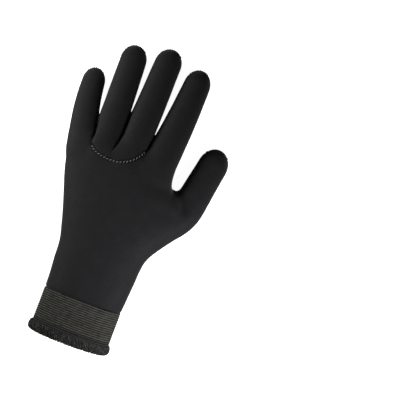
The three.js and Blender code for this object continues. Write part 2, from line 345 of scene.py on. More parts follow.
def columns(rows, place):
    """The rows' columns after the first, on smooth curves through the rows."""
    table = np.array(rows, float)
    knots = table[:, 0]
    slopes = np.gradient(table[:, 1:], knots, axis=0)
    place = np.clip(place, knots[0], knots[-1])
    index = np.clip(np.searchsorted(knots, place) - 1, 0, len(knots) - 2)
    width = (knots[index + 1] - knots[index])[:, None]
    t = (place - knots[index])[:, None] / width
    start, end = table[index, 1:], table[index + 1, 1:]
    found = start + (end - start) * t * t * (3 - 2 * t)
    found += width * t * (1 - t) * ((1 - t) * slopes[index] - t * slopes[index + 1])
    return found.T


def oval(across, up, half_width, half_depth, squareness):
    """How large an oval passes through each point, and how fast that grows there."""
    u = np.maximum(np.abs(across) / half_width, 1e-3)
    v = np.maximum(np.abs(up) / half_depth, 1e-3)
    size = (u**squareness + v**squareness) ** (1 / squareness)
    slope = size ** (1 - squareness) * np.hypot(
        u ** (squareness - 1) / half_width, v ** (squareness - 1) / half_depth
    )
    return size, slope


def hand_field(points):
    x, y, z = points.T
    little, thumb, foot, lift, sink = columns(HAND_SECTIONS, (y - BODY_FOOT) / HAND_LENGTH)
    half_wrist = WRIST_WIDTH / 2
    left = -half_wrist + (half_wrist - LITTLE_SPREAD * HAND_WIDTH) * little
    right = half_wrist + (THUMB_SPREAD * HAND_WIDTH - half_wrist) * thumb
    floor = foot * REST_HEIGHT + lift * HAND_DEPTH
    top = REST_HEIGHT + WRIST_DEPTH
    top = top + (HAND_DEPTH - top) * sink
    bottom = floor - FLAT_DEPTH
    size, slope = oval(
        x - (left + right) / 2,
        z - (bottom + top) / 2,
        (right - left) / 2,
        (top - bottom) / 2,
        HAND_SQUARENESS,
    )
    body = smooth_max((size - 1) / slope, floor - z, FLOOR_FILLET)
    end = BODY_FOOT + HAND_SECTIONS[-1][0] * HAND_LENGTH
    return smooth_max(body, y - end, ROOT_FILLET)


class Digit:
    """A finger or the thumb: its axis, and its half sizes along it."""

    def __init__(self, row):
        for name, value in zip(DIGIT_COLUMNS, row):
            setattr(self, name, value)
        self.length *= HAND_LENGTH
        self.width *= HAND_WIDTH
        self.tip_width *= HAND_WIDTH
        self.seam *= HAND_WIDTH
        self.depth *= HAND_DEPTH
        self.tip_depth *= HAND_DEPTH
        self.shares = np.linspace(AXIS_START, AXIS_END, AXIS_POINTS)
        turn = smooth_step((self.shares - self.bend_start) / (self.bend_end - self.bend_start))
        heading = np.radians(self.turn + (self.lean - self.turn) * turn)
        stride = self.length * (self.shares[1] - self.shares[0])
        x = np.cumsum(np.sin(heading)) * stride
        y = np.cumsum(np.cos(heading)) * stride
        x += self.across * HAND_WIDTH - np.interp(0, self.shares, x)
        y += BODY_FOOT + self.along * HAND_LENGTH - np.interp(0, self.shares, y)
        root_height = self.rise * HAND_DEPTH
        tip_height = self.tip_depth / 2 - FLAT_DEPTH
        drop = np.clip(self.shares, 0, 1.1) ** DROOP
        z = root_height + (tip_height - root_height) * drop
        self.axis = np.stack([x, y, z], 1)
        tangents = np.gradient(self.axis, axis=0)
        self.tangents = tangents / np.linalg.norm(tangents, axis=1)[:, None]
        reach = self.width / 2 + DIGIT_MARGIN
        inner = (self.shares > -0.1) & (self.shares < 1)
        self.low = self.axis[inner].min(0) - reach
        self.high = self.axis[inner].max(0) + reach

    def near(self, points):
        return np.all((points > self.low) & (points < self.high), 1)

    def at(self, table, share):
        return np.stack([np.interp(share, self.shares, table[:, k]) for k in range(3)], 1)

    def local(self, points):
        """The share of the length, and the distances to the side and up, of each point."""
        start, end = self.at(self.axis, [0, 1])
        run = end - start
        share = (points - start) @ run / (run @ run)
        for _ in range(5):
            away = points - self.at(self.axis, share)
            share = share + np.sum(away * self.at(self.tangents, share), 1) / self.length
            share = np.clip(share, AXIS_START + 0.01, AXIS_END - 0.01)
        tangent = self.at(self.tangents, share)
        side = np.stack([tangent[:, 1], -tangent[:, 0], np.zeros(len(tangent))], 1)
        side /= np.linalg.norm(side, axis=1)[:, None]
        away = points - self.at(self.axis, share)
        return share, np.sum(away * side, 1), np.sum(away * np.cross(side, tangent), 1)

    def halves(self, share):
        share = np.clip(share, 0, 1)
        return (
            (self.width + (self.tip_width - self.width) * share) / 2,
            (self.depth + (self.tip_depth - self.depth) * share) / 2,
        )

    def field(self, points):
        share, across, up = self.local(points)
        half_width, half_depth = self.halves(share)
        size, slope = oval(across, up, half_width, half_depth, DIGIT_SQUARENESS)
        dome = DOME_SHARE * self.tip_width
        past = np.maximum(share * self.length - (self.length - dome), 0) / dome
        short = np.maximum(DIGIT_OVERLAP * DIGIT_ROOT - share * self.length, 0) / DIGIT_ROOT
        end = past + short
        end_slope = past / dome + short / DIGIT_ROOT
        whole = np.hypot(size, end)
        return (whole - 1) * whole / np.hypot(size * slope, end_slope)

    def palm_field(self, points):
        share, across, up = self.local(points)
        half_width, half_depth = self.halves(share)
        root_top = HAND_DEPTH * (PALM_TOP - self.rise)
        mix = np.clip(share / 0.5, 0, 1)
        top = root_top + (TIP_RISE * 2 * half_depth - root_top) * mix
        inside = across + half_width - LITTLE_SEAM
        for edge in (half_width - self.seam - across, top - up, share * self.length):
            inside = smooth_min(inside, edge, DIGIT_SEAM_FILLET)
        return inside


digits = {name: Digit(row) for name, row in DIGITS.items()}


def from_run(points, start, end):
    """How far along a straight run each point is, as a share, and how far from it."""
    start = np.array(start, float)
    run = np.array(end, float) - start
    share = np.clip((points - start) @ run / (run @ run), 0, 1)
    return share, np.linalg.norm(points - start - share[:, None] * run, axis=1)


def dent_field(points):
    """How deep the soft hollows are at each point."""
    deep = np.zeros(len(points))
    for start, end, radius, depth in DENTS:
        _, away = from_run(points, start, end)
        deep += depth * np.exp(-((away / radius) ** 2))
    return deep


def nearest_crease(place):
    """How far the nearest crease is from each place, and its half width and bottom there."""
    away = np.full(len(place), FAR)
    found = np.ones((2, len(place)))
    for stations in CREASES:
        for start, end in zip(stations, stations[1:]):
            share, own = from_run(place, start[:2], end[:2])
            change = np.subtract(end, start)
            values = np.array(start)[2:, None] + change[2:, None] * share
            found = np.where(own < away, values, found)
            away = np.minimum(own, away)
    return away, *found


def crease_field(points):
    """How deep the creases between the fingers' roots are at each point."""
    every = np.array([station for stations in CREASES for station in stations])
    edge = 3 * every[:, 2].max()
    near = np.all(points[:, :2] > every[:, :2].min(0) - edge, 1)
    near &= np.all(points[:, :2] < every[:, :2].max(0) + edge, 1)
    near &= points[:, 2] > every[:, 3].min()
    away, width, bottom = nearest_crease(points[near, :2])
    deep = np.zeros(len(points))
    deep[near] = CREASE_DEPTH * np.exp(-((away / width) ** 2))
    deep[near] *= smooth_step((points[near, 2] - bottom) / CREASE_RISE)
    return deep


def swell_field(points):
    """The slight unevenness of soft neoprene."""
    x, y, z = points.T
    broad = np.sin(x / 9.1 + 1.7 * np.sin(y / 27)) * np.sin(y / 12.7 + 0.6 + z / 15)
    small = np.sin(x / 5.3 - y / 7.9 + 0.4) * np.sin(y / 4.7 + x / 11 + z / 9)
    return 0.16 * broad + 0.05 * small


def glove_field(points):
    """The distance, near enough, from the glove's outer face: below 0 in the glove."""
    fingers = np.full(len(points), FAR)
    thumb = np.full(len(points), FAR)
    for name, digit in digits.items():
        near = digit.near(points)
        if near.any():
            found = digit.field(points[near])
            if name == "thumb":
                thumb[near] = found
            else:
                fingers[near] = smooth_min(fingers[near], found, WEB_FILLET)
    whole = smooth_min(hand_field(points), fingers, ROOT_FILLET)
    whole = smooth_min(whole, thumb, THUMB_FILLET)
    whole = whole + dent_field(points) + crease_field(points) + swell_field(points)
    return smooth_max(whole, DOT_HEIGHT + 0.02 - points[:, 2], FLOOR_FILLET)


def outline_field(points, outline):
    """The distance in from an outline seen from above, below 0 outside it."""
    corners = np.array([(a * HAND_WIDTH, BODY_FOOT + b * HAND_LENGTH) for a, b in outline])
    place = points[:, :2]
    nearest = np.full(len(place), np.inf)
    inside = np.zeros(len(place), bool)
    for start, end in zip(corners, np.roll(corners, -1, 0)):
        nearest = np.minimum(nearest, from_run(place, start, end)[1])
        spans = (start[1] > place[:, 1]) != (end[1] > place[:, 1])
        rise = end[1] - start[1] if end[1] != start[1] else 1e-9
        cross = start[0] + (place[:, 1] - start[1]) * (end[0] - start[0]) / rise
        inside ^= spans & (place[:, 0] < cross)
    return np.where(inside, nearest, -nearest)


def palm_field(points):
    """How far each point is inside the palm piece, below 0 outside it."""
    top = HAND_DEPTH * PALM_TOP
    found = smooth_min(outline_field(points, PALM_OUTLINE), top - points[:, 2], SEAM_FILLET)
    for digit in digits.values():
        near = digit.near(points)
        if near.any():
            own = digit.palm_field(points[near])
            found[near] = smooth_max(found[near], own, SEAM_FILLET)
    return found


def finger_field(points):
    return outline_field(points, BACK_SEAM)


def gradient(field, points, reach=0.15):
    found = np.empty_like(points)
    for axis in range(3):
        step = np.zeros(3)
        step[axis] = reach
        found[:, axis] = (field(points + step) - field(points - step)) / (2 * reach)
    return found


def settle(points, rounds=2):
    """Moves points onto the glove's outer face."""
    for _ in range(rounds):
        slope = gradient(glove_field, points)
        steep = np.maximum(np.sum(slope**2, 1), 0.05)
        points = points - (glove_field(points) / steep)[:, None] * slope
    return points


def surface(field, low, high, step):
    """A mesh of the face where the field is 0, as points and triangles."""
    axes = [np.arange(low[k], high[k] + step, step) for k in range(3)]
    shape = [len(axis) for axis in axes]
    grid = np.stack(np.meshgrid(*axes, indexing="ij"), -1).reshape(-1, 3)
    values = np.concatenate([
        field(part) for part in np.array_split(grid, max(1, len(grid) // GRID_PART))
    ]).reshape(shape)
    cells = [count - 1 for count in shape]
    total = np.zeros((*cells, 3))
    hits = np.zeros(cells, int)
    quads = []
    for axis in range(3):
        one, two = (axis + 1) % 3, (axis + 2) % 3
        moved = np.moveaxis(values, axis, 0)
        first, last = moved[:-1], moved[1:]
        found = np.argwhere((first < 0) != (last < 0))
        if axis == 1:
            found = found[:, [1, 0, 2]]
        elif axis == 2:
            found = found[:, [1, 2, 0]]
        keep = (found[:, one] > 0) & (found[:, two] > 0)
        keep &= (found[:, one] < shape[one] - 1) & (found[:, two] < shape[two] - 1)
        found = found[keep]
        after = found.copy()
        after[:, axis] += 1
        a = values[tuple(found.T)]
        b = values[tuple(after.T)]
        place = found.astype(float)
        place[:, axis] += a / (a - b)
        around = []
        for back_one, back_two in ((0, 0), (1, 0), (1, 1), (0, 1)):
            cell = found.copy()
            cell[:, one] -= back_one
            cell[:, two] -= back_two
            np.add.at(total, tuple(cell.T), place)
            np.add.at(hits, tuple(cell.T), 1)
            around.append(np.ravel_multi_index(tuple(cell.T), cells))
        quad = np.stack(around, 1)
        quads.append(np.where((a > b)[:, None], quad[:, ::-1], quad))
    quads = np.concatenate(quads)
    used, index = np.unique(quads, return_inverse=True)
    index = index.reshape(quads.shape)
    middle = total.reshape(-1, 3)[used] / hits.reshape(-1)[used][:, None]
    points = middle * step + np.array(low)
    return points, np.concatenate([index[:, [0, 1, 2]], index[:, [0, 2, 3]]])


def refine(points, triangles, near):
    """Halves the edges between points that are near, and the triangles at them."""
    edges = np.sort(np.concatenate([triangles[:, [0, 1]], triangles[:, [1, 2]],
                                    triangles[:, [2, 0]]]), 1)
    unique, index = np.unique(edges, axis=0, return_inverse=True)
    index = index.reshape(3, -1).T
    split = near[unique[:, 0]] & near[unique[:, 1]]
    middles = np.full(len(unique), -1)
    middles[split] = len(points) + np.arange(split.sum())
    added = (points[unique[split, 0]] + points[unique[split, 1]]) / 2
    found = middles[index]
    count = (found >= 0).sum(1)
    made = [triangles[count == 0]]
    for turn in range(3):
        tri = np.roll(triangles, -turn, 1)
        mid = np.roll(found, -turn, 1)
        one = (count == 1) & (mid[:, 0] >= 0)
        made.append(np.stack([tri[one, 0], mid[one, 0], tri[one, 2]], 1))
        made.append(np.stack([mid[one, 0], tri[one, 1], tri[one, 2]], 1))
        two = (count == 2) & (mid[:, 2] < 0)
        made.append(np.stack([mid[two, 0], tri[two, 1], mid[two, 1]], 1))
        made.append(np.stack([tri[two, 0], mid[two, 0], mid[two, 1]], 1))
        made.append(np.stack([tri[two, 0], mid[two, 1], tri[two, 2]], 1))
    full = count == 3
    a, b, c = triangles[full].T
    d, e, f = found[full].T
    made += [np.stack(t, 1) for t in ((a, d, f), (d, b, e), (f, e, c), (d, e, f))]
    return np.concatenate([points, added]), np.concatenate(made)


def cut(points, triangles, field, snap):
    """Cuts the triangles along the line where the field is 0. Returns their sides as well."""
    values = field(points)
    close = np.abs(values) < snap
    if close.any():
        slope = gradient(field, points[close])
        normal = gradient(glove_field, points[close])
        normal /= np.linalg.norm(normal, axis=1)[:, None]
        slope -= np.sum(slope * normal, 1)[:, None] * normal
        steep = np.maximum(np.sum(slope**2, 1), 0.2)
        points = points.copy()
        points[close] -= (values[close] / steep)[:, None] * slope
        values[close] = 0
    side = np.sign(values)[triangles]
    crossed = (side.max(1) > 0) & (side.min(1) < 0)
    made = [triangles[~crossed]]
    new_points = []
    new_triangles = []
    middles = {}

    def middle(i, j):
        key = (min(i, j), max(i, j))
        if key not in middles:
            share = values[key[0]] / (values[key[0]] - values[key[1]])
            new_points.append(points[key[0]] + share * (points[key[1]] - points[key[0]]))
            middles[key] = len(points) + len(new_points) - 1
        return middles[key]

    for tri in triangles[crossed]:
        signs = [np.sign(values[k]) for k in tri]
        turn = next(
            k for k in range(3)
            if signs[k] != 0 and signs[k] != signs[(k + 1) % 3] and signs[k] != signs[(k + 2) % 3]
            and (signs[(k + 1) % 3] != 0 or signs[(k + 2) % 3] != 0)
        )
        a, b, c = (int(tri[(turn + k) % 3]) for k in range(3))
        ab = b if values[b] == 0 else middle(a, b)
        ca = c if values[c] == 0 else middle(c, a)
        new_triangles.append((a, ab, ca))
        if ab != b and ca != c:
            new_triangles += [(ab, b, c), (ab, c, ca)]
        elif ab == b:
            new_triangles.append((b, c, ca))
        else:
            new_triangles.append((ab, b, c))
    if new_points:
        points = np.concatenate([points, np.array(new_points)])
        made.append(np.array(new_triangles))
        values = np.concatenate([values, np.zeros(len(new_points))])
    triangles = np.concatenate(made)
    corner = values[triangles]
    inside = np.where(np.abs(corner.max(1)) > np.abs(corner.min(1)), corner.max(1), corner.min(1))
    return points, triangles, inside > 0


def border_edges(triangles):
    """The edges that only one triangle has, in its own direction."""
    edges = np.concatenate([triangles[:, [0, 1]], triangles[:, [1, 2]], triangles[:, [2, 0]]])
    keys = np.sort(edges, 1)
    _, index, count = np.unique(keys, axis=0, return_index=True, return_counts=True)
    return edges[index[count == 1]]


def chains(edges):
    """Joins edges into lines of point numbers."""
    after = {}
    for a, b in edges:
        after.setdefault(int(a), []).append(int(b))
        after.setdefault(int(b), []).append(int(a))
    left = {(min(int(a), int(b)), max(int(a), int(b))) for a, b in edges}
    lines = []
    ends = [k for k, near in after.items() if len(near) == 1]
    while left:
        start = next((k for k in ends if any((min(k, n), max(k, n)) in left for n in after[k])),
                     None)
        if start is None:
            start = next(iter(left))[0]
        line = [start]
        while True:
            here = line[-1]
            ways = [n for n in after[here] if (min(here, n), max(here, n)) in left]
            if not ways:
                break
            left.discard((min(here, ways[0]), max(here, ways[0])))
            line.append(ways[0])
        lines.append(line)
    return lines


def unit(vectors):
    return vectors / np.maximum(np.linalg.norm(vectors, axis=-1, keepdims=True), 1e-9)


def normals_at(points):
    return unit(gradient(glove_field, points))


def lengths_along(line):
    return np.concatenate([[0], np.cumsum(np.linalg.norm(np.diff(line, axis=0), axis=1))])


def even(line, pitch):
    """Points at an even pitch along a line."""
    along = lengths_along(line)
    count = max(2, int(round(along[-1] / pitch)) + 1)
    places = np.linspace(0, along[-1], count)
    return np.stack([np.interp(places, along, line[:, k]) for k in range(3)], 1)


def calm(line, rounds):
    """A line with its small zigzags smoothed away. A loop stays closed."""
    closed = np.allclose(line[0], line[-1])
    line = line.copy()
    for _ in range(rounds):
        if closed:
            before, after = np.roll(line[:-1], 1, 0), np.roll(line[:-1], -1, 0)
            line[:-1] = (before + 2 * line[:-1] + after) / 4
            line[-1] = line[0]
        else:
            line[1:-1] = (line[:-2] + 2 * line[1:-1] + line[2:]) / 4
    return line


def make_shell():
    """The neoprene's outer face, cut into its pieces."""
    points, triangles = surface(glove_field, SHELL_LOW, SHELL_HIGH, STEP)
    points = settle(points)
    palm, finger = palm_field(points), finger_field(points)
    near = (np.abs(palm) < FINE_BAND) | ((np.abs(finger) < FINE_BAND) & (palm < FINE_BAND))
    near |= crease_field(points) > FINE_CREASE
    points, triangles = refine(points, triangles, near)
    points = settle(points, 1)
    a, b, c = (points[triangles[:, k]] for k in range(3))
    if np.sum(a * np.cross(b, c)) < 0:
        triangles = triangles[:, ::-1]
    snap = STEP * SNAP_SHARE
    points, triangles, ahead = cut(points, triangles, lambda p: p[:, 1] - BODY_FOOT, snap)
    points, triangles, inside = cut(points, triangles[ahead], palm_field, snap)
    palm = triangles[inside]
    points, triangles, inside = cut(points, triangles[~inside], finger_field, snap)
    return points, palm, triangles[inside], triangles[~inside]


def seam_lines(points, palm, fingers):
    """The lines of the palm seam and the back seam, evenly spaced and smooth."""
    edges = border_edges(palm)
    middle = (points[edges[:, 0]] + points[edges[:, 1]]) / 2
    palm_lines = chains(edges[middle[:, 1] > BODY_FOOT + 0.1])
    edges = border_edges(fingers)
    on_line = np.abs(finger_field(points[edges].reshape(-1, 3))).reshape(-1, 2).max(1) < 0.05
    back_lines = chains(edges[on_line])
    found = []
    for lines in (palm_lines, back_lines):
        kept = [points[line] for line in lines if len(line) > SHORT_SEAM]
        found.append([settle(calm(even(line, SEAM_STEP), SEAM_ROUNDS), 1) for line in kept])
    return found


def groove_depths(points, lines):
    """How deep the seams' grooves are at each point."""
    places = np.concatenate(lines)
    tree = KDTree(len(places))
    for index, place in enumerate(places):
        tree.insert(place, index)
    tree.balance()
    away = np.array([tree.find(point)[2] for point in points])
    mouth = np.abs(points[:, 1] - BODY_FOOT)
    deep = GROOVE_DEPTH * np.exp(-((away / GROOVE_WIDTH) ** 2))
    return np.maximum(deep, MOUTH_DEPTH * np.exp(-((mouth / GROOVE_WIDTH) ** 2)))


def relaxed(points, triangles, fixed, rounds):
    """Points evened out between their neighbours."""
    edges = np.concatenate([triangles[:, [0, 1]], triangles[:, [1, 2]], triangles[:, [2, 0]]])
    edges = np.concatenate([edges, edges[:, ::-1]])
    count = np.bincount(edges[:, 0], minlength=len(points))[:, None]
    free = np.ones(len(points), bool)
    free[fixed] = False
    for _ in range(rounds):
        total = np.stack([
            np.bincount(edges[:, 0], points[edges[:, 1], k], len(points)) for k in range(3)
        ], 1)
        points = np.where(free[:, None], total / np.maximum(count, 1), points)
    return points


def add_piece(name, points, faces, materials, nodes=(), face_materials=None):
    """A smooth-shaded piece of the glove, from points in millimetres."""
    mesh = bpy.data.meshes.new(name)
    places = np.asarray(points) / 1000 + SHIFT
    mesh.from_pydata(places.tolist(), [], [list(map(int, face)) for face in faces])
    for made in materials:
        mesh.materials.append(made)
    if face_materials is not None:
        mesh.polygons.foreach_set("material_index", np.asarray(face_materials, np.int32))
    mesh.polygons.foreach_set("use_smooth", np.ones(len(mesh.polygons), bool))
    mesh.update()
    thing = bpy.data.objects.new(name, mesh)
    bpy.context.scene.collection.objects.link(thing)
    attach(thing, "root")
    if nodes:
        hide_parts(*nodes)
    return thing


def add_panel(name, node, points, triangles, depths, materials):
    """A piece of neoprene with its outer face, its lining and its cut edges."""
    used, index = np.unique(triangles, return_inverse=True)
    triangles = index.reshape(-1, 3)
    face = points[used]
    normals = normals_at(face)
    border = border_edges(triangles)
    outer = face - normals * depths[used][:, None]
    inner = relaxed(face - normals * WALL, triangles, np.unique(border), LINING_ROUNDS)
    count = len(used)
    a, b = border.T
    rim = np.concatenate([
        np.stack([b, a, a + count], 1), np.stack([b, a + count, b + count], 1),
    ])
    faces = np.concatenate([triangles, triangles[:, ::-1] + count, rim])
    kinds = np.repeat([0, 1, 1], [len(triangles), len(triangles), len(rim)])
    return add_piece(
        name, np.concatenate([outer, inner]), faces, materials, [node], kinds
    )


def grid_faces(rows, columns_count, closed):
    """Faces between the rows of a grid of points."""
    faces = []
    for row in range(rows - 1):
        for column in range(columns_count if closed else columns_count - 1):
            after = (column + 1) % columns_count
            faces.append((
                row * columns_count + column, row * columns_count + after,
                (row + 1) * columns_count + after, (row + 1) * columns_count + column,
            ))
    return faces


def tube(line, radii, sides, ups):
    """A closed round tube along a line, as points and faces."""
    tangents = unit(np.gradient(line, axis=0))
    across = unit(np.cross(ups, tangents))
    ups = np.cross(tangents, across)
    angles = np.arange(sides) / sides * 2 * math.pi
    radii = np.broadcast_to(radii, len(line))
    ring = across[:, None] * np.cos(angles)[None, :, None]
    ring = ring + ups[:, None] * np.sin(angles)[None, :, None]
    points = (line[:, None] + ring * radii[:, None, None]).reshape(-1, 3)
    faces = grid_faces(len(line), sides, True)
    faces.append(tuple(range(sides))[::-1])
    faces.append(tuple(range((len(line) - 1) * sides, len(line) * sides)))
    return points, faces


def joined(parts):
    """Several meshes as one."""
    points, faces, start = [], [], 0
    for own_points, own_faces in parts:
        points.append(own_points)
        faces += [tuple(k + start for k in face) for face in own_faces]
        start += len(own_points)
    return np.concatenate(points), faces


def seam_frames(line, pitch):
    """Places along a seam, with the directions along it, across it and out of the glove."""
    places = even(line, pitch)
    ups = normals_at(places)
    tangents = unit(np.gradient(places, axis=0))
    return places, tangents, np.cross(ups, tangents), ups


def stitches(line, pitch, length, radius, slants):
    """Threads over a seam, slanted from its direction by each of the slants in turn."""
    parts = []
    places, tangents, sides, ups = seam_frames(line, pitch)
    spread = np.linspace(-1, 1, 5)
    for number in range(1, len(places) - 1):
        slant = slants[number % len(slants)]
        way = sides[number] * math.sin(slant) + tangents[number] * math.cos(slant)
        height = STITCH_RISE - STITCH_BOW * spread**2
        run = places[number] + spread[:, None] * way * length / 2
        run = run + height[:, None] * ups[number]
        radii = radius * np.sqrt(1.05 - spread**2)
        parts.append(tube(run, radii, THREAD_SIDES, np.broadcast_to(ups[number], run.shape)))
    return parts


def palm_cord(line):
    """The thin cord that the palm seam's threads hold down."""
    places, _, _, ups = seam_frames(line, CORD_STEP)
    return tube(places + ups * CORD_RISE, CORD_RADIUS, THREAD_SIDES, ups)


def back_shadow_cord(line):
    """A dark cord beside the back seam's threads, on the fingers' side of them: a painted shadow
    line.
    """
    places, _, _, ups = seam_frames(line, CORD_STEP)
    places = places + BACK_SHADOW_CORD_SIDE * unit(gradient(finger_field, places))
    return tube(places + ups * BACK_SHADOW_CORD_RISE, BACK_SHADOW_CORD_RADIUS, THREAD_SIDES, ups)


def clear_of_creases(line):
    """The parts of a line that no crease hides."""
    shown = nearest_crease(line[:, :2])[0] > CREASE_HIDES
    changes = np.flatnonzero(np.diff(shown)) + 1
    parts = np.split(np.arange(len(line)), changes)
    return [line[part] for part in parts if shown[part[0]] and len(part) > SHORT_SEAM]


def add_seam_threads(palm_lines, back_lines):
    """The threads over the palm seam and the back seam, and the dark cords under and beside them;
    the back seam's dark cord is a painted shadow line.
    """
    back_lines = [part for line in back_lines for part in clear_of_creases(line)]
    cords_and_shadow_line = [palm_cord(line) for line in palm_lines]
    cords_and_shadow_line += [back_shadow_cord(line) for line in back_lines]
    threads = []
    for line in palm_lines:
        threads += stitches(
            line, STITCH_PITCH, STITCH_LENGTH, STITCH_RADIUS, (STITCH_SLANT, -STITCH_SLANT)
        )
    for line in back_lines:
        threads += stitches(
            line, BACK_STITCH_PITCH, BACK_STITCH_LENGTH, BACK_STITCH_RADIUS, (BACK_STITCH_SLANT,)
        )
    points, faces = joined(cords_and_shadow_line + threads)
    kinds = np.ones(len(faces))
    kinds[:sum(len(part[1]) for part in cords_and_shadow_line)] = 0
    return add_piece(
        "seam_threads", points, faces, [materials["seam_cord_and_shadow"], thread],
        face_materials=kinds,
    )


def grip_places():
    """Where the grip's dots are, seen from below, in hexagonal patches."""
    turn = np.array([
        [math.cos(GRIP_TURN), -math.sin(GRIP_TURN)], [math.sin(GRIP_TURN), math.cos(GRIP_TURN)],
    ])
    found = []
    apothem = (PATCH_PITCH - PATCH_SPACE) / 2
    reach = int(apothem / DOT_PITCH) + 2
    corners = np.radians(np.arange(6) * 60)
    sides = np.stack([np.cos(corners), np.sin(corners)], 1)
    dots = np.array([
        (DOT_PITCH * (column + row / 2), DOT_PITCH * row * math.sqrt(3) / 2)
        for row in range(-reach, reach + 1) for column in range(-2 * reach, 2 * reach + 1)
    ])
    patch = dots[np.max(dots @ sides.T, 1) < apothem]
    for row in range(-PATCH_ROWS, PATCH_ROWS + 1):
        for column in range(-PATCH_COLUMNS, PATCH_COLUMNS + 1):
            middle = np.array([
                PATCH_PITCH * (column + row / 2), PATCH_PITCH * row * math.sqrt(3) / 2,
            ])
            found.append(patch + middle)
    return np.concatenate(found) @ turn.T + GRIP_MIDDLE


def dome(place, out, radius, height):
    """A small round dot on a face."""
    side = unit(np.cross(out, (0.3, 1, 0.2)))
    other = np.cross(out, side)
    angles = np.arange(DOT_SIDES) / DOT_SIDES * 2 * math.pi
    ring = side * np.cos(angles)[:, None] + other * np.sin(angles)[:, None]
    points = np.concatenate([
        place + ring * radius - out * 0.1,
        place + ring * radius * DOT_SHOULDER + out * height * DOT_SHOULDER,
        [place + out * height],
    ])
    faces = []
    for number in range(DOT_SIDES):
        after = (number + 1) % DOT_SIDES
        faces.append((number, after, DOT_SIDES + after, DOT_SIDES + number))
        faces.append((DOT_SIDES + number, DOT_SIDES + after, 2 * DOT_SIDES))
    faces.append(tuple(range(DOT_SIDES))[::-1])
    return points, faces


def add_grip(points, palm, depths):
    """The printed dots of the palm."""
    shown = points - normals_at(points) * depths[:, None]
    tree = BVHTree.FromPolygons(shown.tolist(), palm.tolist())
    places = grip_places()
    inside = np.all((places > GRIP_LOW) & (places < GRIP_HIGH), 1)
    hits, outs = [], []
    for x, y in places[inside]:
        hit, out, _, _ = tree.ray_cast(Vector((x, y, RAY_FOOT)), Vector((0, 0, 1)), RAY_REACH)
        if hit is not None and out.z < -GRIP_SLOPE:
            hits.append(hit)
            outs.append(out)
    hits, outs = np.array(hits), unit(np.array(outs))
    kept = palm_field(hits) > GRIP_MARGIN
    parts = [
        dome(hit, out, DOT_RADIUS, DOT_HEIGHT) for hit, out in zip(hits[kept], outs[kept])
    ]
    spots, faces = joined(parts)
    return add_piece("grip_dots", spots, faces, [rubber])


def cuff_points(angles, heights, offsets):
    """Points round the cuff, as in the part: angle, height and distance out from its face."""
    def bent(value):
        return np.sign(value) * np.abs(value) ** (2 / HAND_SQUARENESS)

    angles, heights, offsets = np.broadcast_arrays(angles, heights, offsets)
    x = (WRIST_WIDTH / 2 + offsets) * bent(np.cos(angles))
    z = REST_HEIGHT + (WRIST_DEPTH - FLAT_DEPTH) / 2
    z = z + ((WRIST_DEPTH + FLAT_DEPTH) / 2 + offsets) * bent(np.sin(angles))
    return np.stack([x, heights, np.maximum(z, REST_HEIGHT - offsets)], -1)


def cuff_lengths(start=0, end=2 * math.pi, count=CUFF_POINTS):
    """Close angles round the cuff, and how far round it each is."""
    angles = np.linspace(start, end, count)
    return angles, lengths_along(cuff_points(angles, 0, 0))


def even_angles(count, start=0, end=2 * math.pi):
    """Angles round the cuff at even distances."""
    fine, along = cuff_lengths(start, end)
    return np.interp(np.linspace(0, along[-1], count), along, fine), along[-1]


def sweep_round(profile, count, wobble=None):
    """A closed profile of height and offset pairs, carried round the cuff."""
    angles, _ = even_angles(count + 1)
    angles = angles[:-1]
    heights = np.array([p[0] for p in profile])[:, None]
    offsets = np.array([p[1] for p in profile])[:, None]
    if wobble:
        heights, offsets = wobble(angles[None, :], heights, offsets)
    points = cuff_points(angles[None, :], heights, offsets)
    rows = len(profile)
    faces = grid_faces(rows, count, True)
    last = (rows - 1) * count
    for column in range(count):
        after = (column + 1) % count
        faces.append((last + column, last + after, after, column))
    return points.reshape(-1, 3), faces


def add_band():
    """The elastic, with a rib for each of its rubber cords, painted shade in the ribs' valleys and
    on the lowest ribs.
    """
    ribs = int(round((BAND_TOP - BAND_FOOT) / RIB_PITCH))
    pitch = (BAND_TOP - BAND_FOOT) / ribs
    steps = ribs * RIB_STEPS
    profile = []
    for step in range(steps + 1):
        height = BAND_FOOT + step / RIB_STEPS * pitch
        bulge = abs(math.sin(math.pi * step / RIB_STEPS)) ** RIB_ROUNDNESS
        edge = min(1, (BAND_TOP - height) / 0.8)
        profile.append((height, -RIB_DEPTH * (1 - bulge) - 0.6 * (1 - edge)))
    profile.append((BAND_TOP, -BAND_WALL * 0.6))
    for height in np.linspace(BAND_TOP - 0.4, BAND_FOOT, BAND_ROWS_INSIDE):
        profile.append((height, -BAND_WALL))

    def wobble(angles, heights, offsets):
        wave = 0.12 * np.sin(3 * angles + 1) + 0.05 * np.sin(7 * angles + heights / 9)
        soft = 0.05 * np.sin(23 * angles + heights / 9)
        inside = (offsets > -BAND_WALL * 0.5) & (heights > BAND_FOOT) & (heights < BAND_TOP)
        return heights + wave * inside, offsets + soft * inside

    points, faces = sweep_round(profile, BAND_COLUMNS, wobble)
    row = np.arange(len(faces)) // BAND_COLUMNS
    rib = row // RIB_STEPS
    # Valley rows are painted near black: painted shade in the recesses between ribs
    shaded_valley = (row < steps) & np.isin(row % RIB_STEPS, (0, RIB_STEPS - 1))
    # The lowest ribs take the darker cloth, painted shade near the hem
    kinds = np.where(shaded_valley, 1, np.where(rib < SHADED_FOOT_RIBS, 2, 0))
    return add_piece(
        "wrist_elastic", points, faces,
        [elastic, materials["shaded_valley"], materials["elastic_painted_shade"]],
        ["elastic_band"], kinds,
    )


